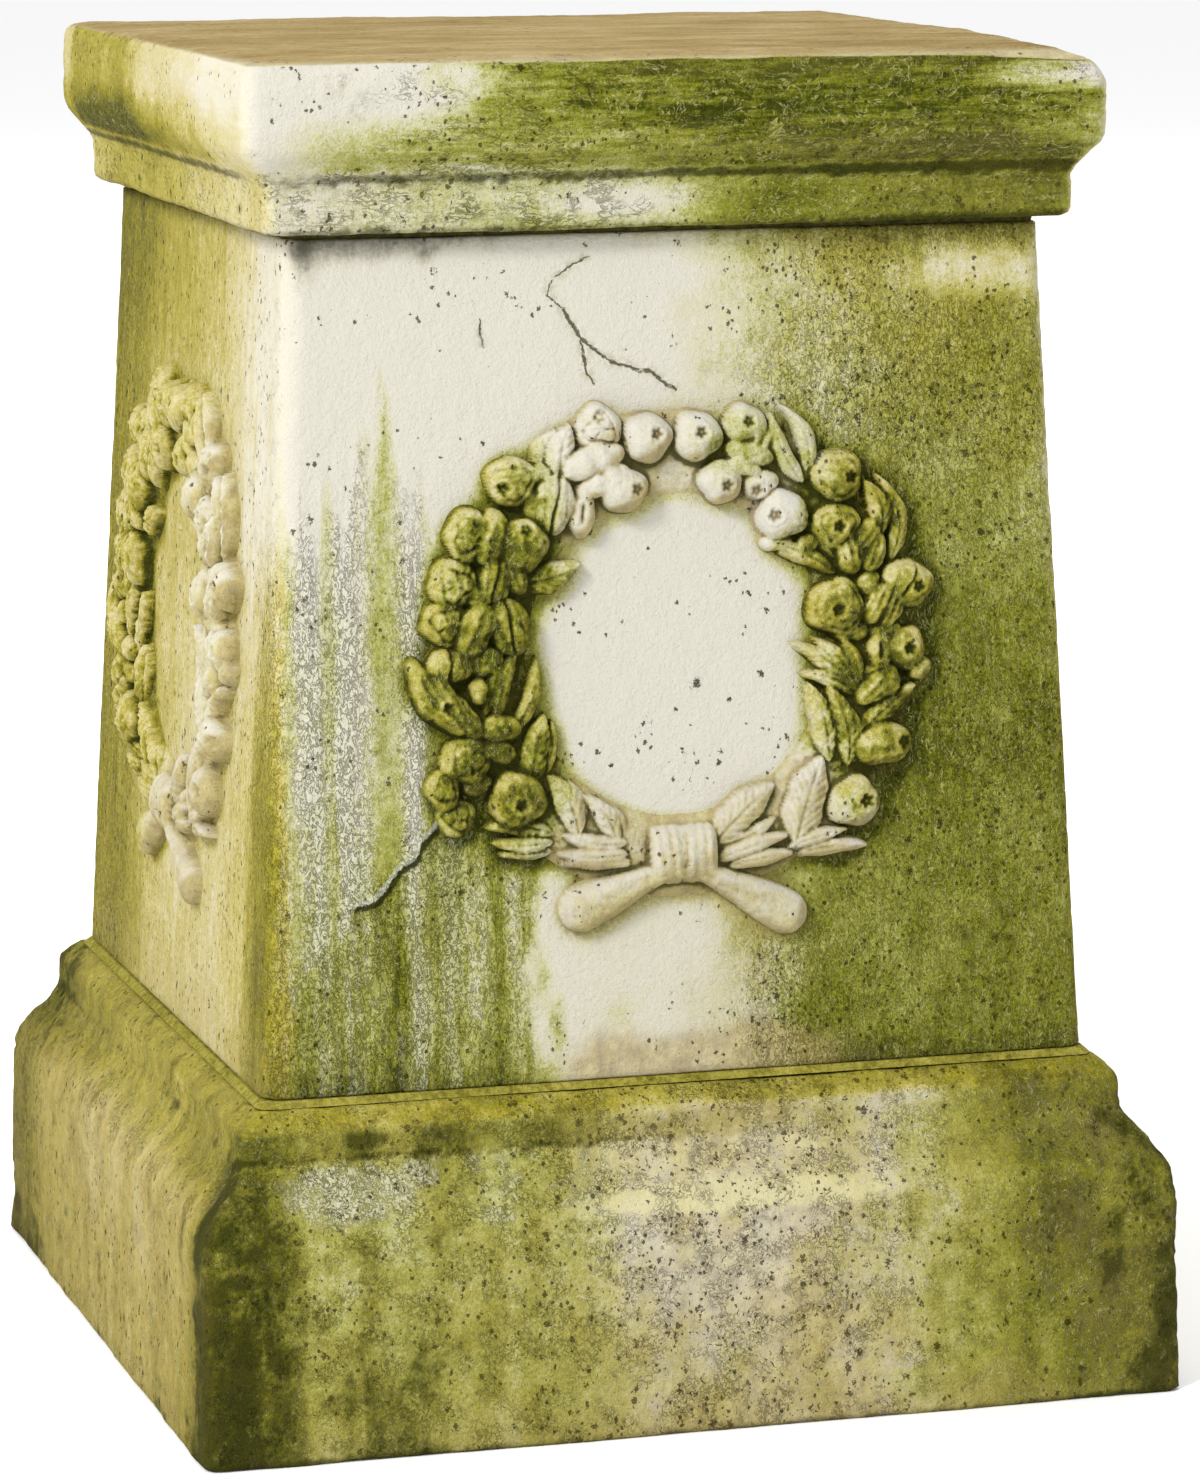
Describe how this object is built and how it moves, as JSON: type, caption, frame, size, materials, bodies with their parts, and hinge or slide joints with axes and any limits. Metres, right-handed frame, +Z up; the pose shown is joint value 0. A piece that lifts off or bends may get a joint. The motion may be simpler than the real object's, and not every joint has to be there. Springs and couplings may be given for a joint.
{
  "type": "garden pedestal",
  "caption": "Weathered square cast-stone garden pedestal: moulded base, tapering die with a fruit wreath on each face, and a moulded cap.",
  "frame": {"origin": "centre of the pedestal's underside, on the ground", "axes": "+Z up; -Y is the front face, -X the left face"},
  "size_m": [0.4572, 0.4572, 0.61],
  "materials": {
    "stone_base": "weathered, stained olive and tan by algae and dirt",
    "stone_die": "cream cast face with green algae and pale lichen",
    "stone_cap": "weathered, olive with a tan top",
    "stone_wreath": "cast relief, cream to olive",
    "mortar": "dark weathered bedding mortar",
    "steel": "plain stainless bar",
    "shim": "plain moulded plastic"
  },
  "bodies": {
    "root": {"base": "stone_base", "die": "stone_die", "cap": "stone_cap", "lower_bed": "mortar", "upper_bed": "mortar", "lower_dowel_front": "steel", "lower_dowel_right": "steel", "lower_dowel_back": "steel", "lower_dowel_left": "steel", "upper_dowel_front": "steel", "upper_dowel_right": "steel", "upper_dowel_back": "steel", "upper_dowel_left": "steel", "lower_shim_front_right": "shim", "lower_shim_back_right": "shim", "lower_shim_back_left": "shim", "lower_shim_front_left": "shim", "upper_shim_front_right": "shim", "upper_shim_back_right": "shim", "upper_shim_back_left": "shim", "upper_shim_front_left": "shim", "wreath_front": "stone_wreath", "wreath_right": "stone_wreath", "wreath_back": "stone_wreath", "wreath_left": "stone_wreath", "wreath_pin_front_1": "steel", "wreath_pin_front_2": "steel", "wreath_pin_right_1": "steel", "wreath_pin_right_2": "steel", "wreath_pin_back_1": "steel", "wreath_pin_back_2": "steel", "wreath_pin_left_1": "steel", "wreath_pin_left_2": "steel"}
  },
  "joints": []
}
